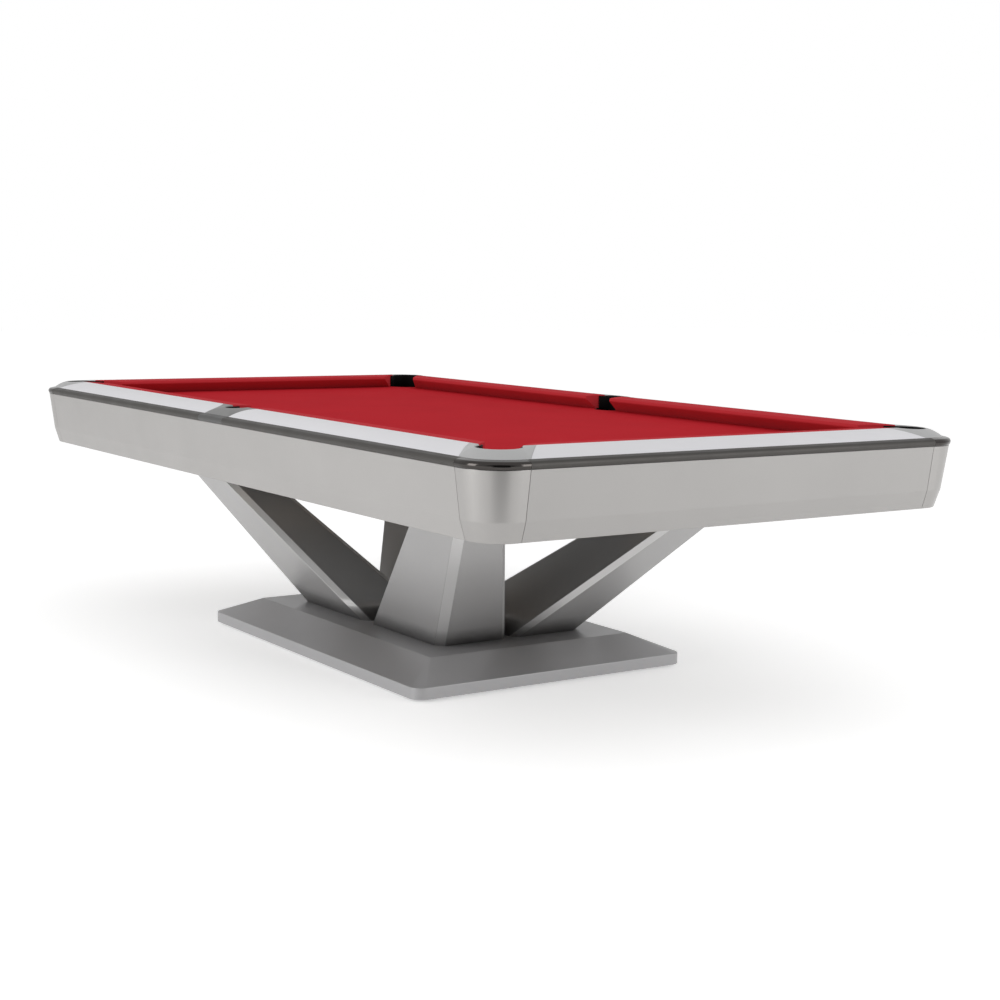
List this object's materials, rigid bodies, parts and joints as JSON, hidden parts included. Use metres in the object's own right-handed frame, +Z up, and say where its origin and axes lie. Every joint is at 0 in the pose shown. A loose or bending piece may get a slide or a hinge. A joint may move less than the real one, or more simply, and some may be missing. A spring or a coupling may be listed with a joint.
{
  "type": "pool table",
  "caption": "Nine-foot pool table with drop pockets, carried by four outward-leaning legs on a hipped floor plate with screw levelling feet.",
  "frame": {"origin": "on the floor, under the middle of the table", "axes": "+X along the length, +Y across the width, +Z up"},
  "size_m": [2.88, 1.61, 0.79],
  "materials": {
    "base_lacquer": "satin metallic silver-grey lacquer on board",
    "leg_lacquer": "satin metallic silver-grey lacquer on timber",
    "apron_silver": "satin metallic silver laminate on board",
    "corner_silver": "satin silver paint",
    "casting_silver": "fine satin silver",
    "trim_gunmetal": "satin gunmetal",
    "rail_white": "satin pearl-white laminate on timber",
    "cushion_cloth": "red napless cloth over rubber",
    "bed_cloth": "red napless cloth",
    "slate_stone": "honed grey slate",
    "frame_timber": "sawn timber",
    "fastener_steel": "zinc-plated",
    "stud_steel": "zinc-plated",
    "liner_black": "matte black moulding",
    "pad_rubber": "matte black moulding"
  },
  "bodies": {
    "table": {"base_plate": "base_lacquer", "leg_front_left": "leg_lacquer", "leg_front_right": "leg_lacquer", "leg_back_left": "leg_lacquer", "leg_back_right": "leg_lacquer", "leg_bolts": "fastener_steel", "frame_beam_front": "frame_timber", "frame_beam_back": "frame_timber", "cross_beams": "frame_timber", "slate_left": "slate_stone", "slate_middle": "slate_stone", "slate_right": "slate_stone", "slate_screws": "fastener_steel", "bed_cloth": "bed_cloth", "rail_front_left": "rail_white", "rail_front_right": "rail_white", "rail_back_left": "rail_white", "rail_back_right": "rail_white", "rail_left_end": "rail_white", "rail_right_end": "rail_white", "cushion_front_left": "cushion_cloth", "cushion_front_right": "cushion_cloth", "cushion_back_left": "cushion_cloth", "cushion_back_right": "cushion_cloth", "cushion_left_end": "cushion_cloth", "cushion_right_end": "cushion_cloth", "trim_front_left": "trim_gunmetal", "trim_front_right": "trim_gunmetal", "trim_back_left": "trim_gunmetal", "trim_back_right": "trim_gunmetal", "trim_left_end": "trim_gunmetal", "trim_right_end": "trim_gunmetal", "corner_casting_front_left": "casting_silver", "corner_casting_front_right": "casting_silver", "corner_casting_back_left": "casting_silver", "corner_casting_back_right": "casting_silver", "side_casting_front": "casting_silver", "side_casting_back": "casting_silver", "liner_front_left": "liner_black", "liner_front_right": "liner_black", "liner_back_left": "liner_black", "liner_back_right": "liner_black", "liner_side_front": "liner_black", "liner_side_back": "liner_black", "apron_front": "apron_silver", "apron_back": "apron_silver", "apron_left_end": "apron_silver", "apron_right_end": "apron_silver", "apron_corner_front_left": "corner_silver", "apron_corner_front_right": "corner_silver", "apron_corner_back_left": "corner_silver", "apron_corner_back_right": "corner_silver"},
    "pad_front_left": {"foot_pad_front_left": "pad_rubber"},
    "stud_front_left": {"foot_stud_front_left": "stud_steel"},
    "pad_front_right": {"foot_pad_front_right": "pad_rubber"},
    "stud_front_right": {"foot_stud_front_right": "stud_steel"},
    "pad_back_left": {"foot_pad_back_left": "pad_rubber"},
    "stud_back_left": {"foot_stud_back_left": "stud_steel"},
    "pad_back_right": {"foot_pad_back_right": "pad_rubber"},
    "stud_back_right": {"foot_stud_back_right": "stud_steel"}
  },
  "joints": [
    {"name": "foot_rise_front_left", "type": "slide", "parent": "table", "child": "pad_front_left", "axis": [0, 0, 1], "range_m": [-0.012, 0]},
    {"name": "foot_turn_front_left", "type": "hinge", "parent": "pad_front_left", "child": "stud_front_left", "pos_m": [-0.592, -0.4245, 0.008], "axis": [0, 0, 1], "range_deg": [-2200, 20]},
    {"name": "foot_rise_front_right", "type": "slide", "parent": "table", "child": "pad_front_right", "axis": [0, 0, 1], "range_m": [-0.012, 0]},
    {"name": "foot_turn_front_right", "type": "hinge", "parent": "pad_front_right", "child": "stud_front_right", "pos_m": [0.592, -0.4245, 0.008], "axis": [0, 0, 1], "range_deg": [-2200, 20]},
    {"name": "foot_rise_back_left", "type": "slide", "parent": "table", "child": "pad_back_left", "axis": [0, 0, 1], "range_m": [-0.012, 0]},
    {"name": "foot_turn_back_left", "type": "hinge", "parent": "pad_back_left", "child": "stud_back_left", "pos_m": [-0.592, 0.4245, 0.008], "axis": [0, 0, 1], "range_deg": [-2200, 20]},
    {"name": "foot_rise_back_right", "type": "slide", "parent": "table", "child": "pad_back_right", "axis": [0, 0, 1], "range_m": [-0.012, 0]},
    {"name": "foot_turn_back_right", "type": "hinge", "parent": "pad_back_right", "child": "stud_back_right", "pos_m": [0.592, 0.4245, 0.008], "axis": [0, 0, 1], "range_deg": [-2200, 20]}
  ],
  "couplings": [
    {"joint": "foot_turn_front_left", "follows": "foot_rise_front_left", "rad_per_m": 3141.6},
    {"joint": "foot_turn_front_right", "follows": "foot_rise_front_right", "rad_per_m": 3141.6},
    {"joint": "foot_turn_back_left", "follows": "foot_rise_back_left", "rad_per_m": 3141.6},
    {"joint": "foot_turn_back_right", "follows": "foot_rise_back_right", "rad_per_m": 3141.6}
  ]
}
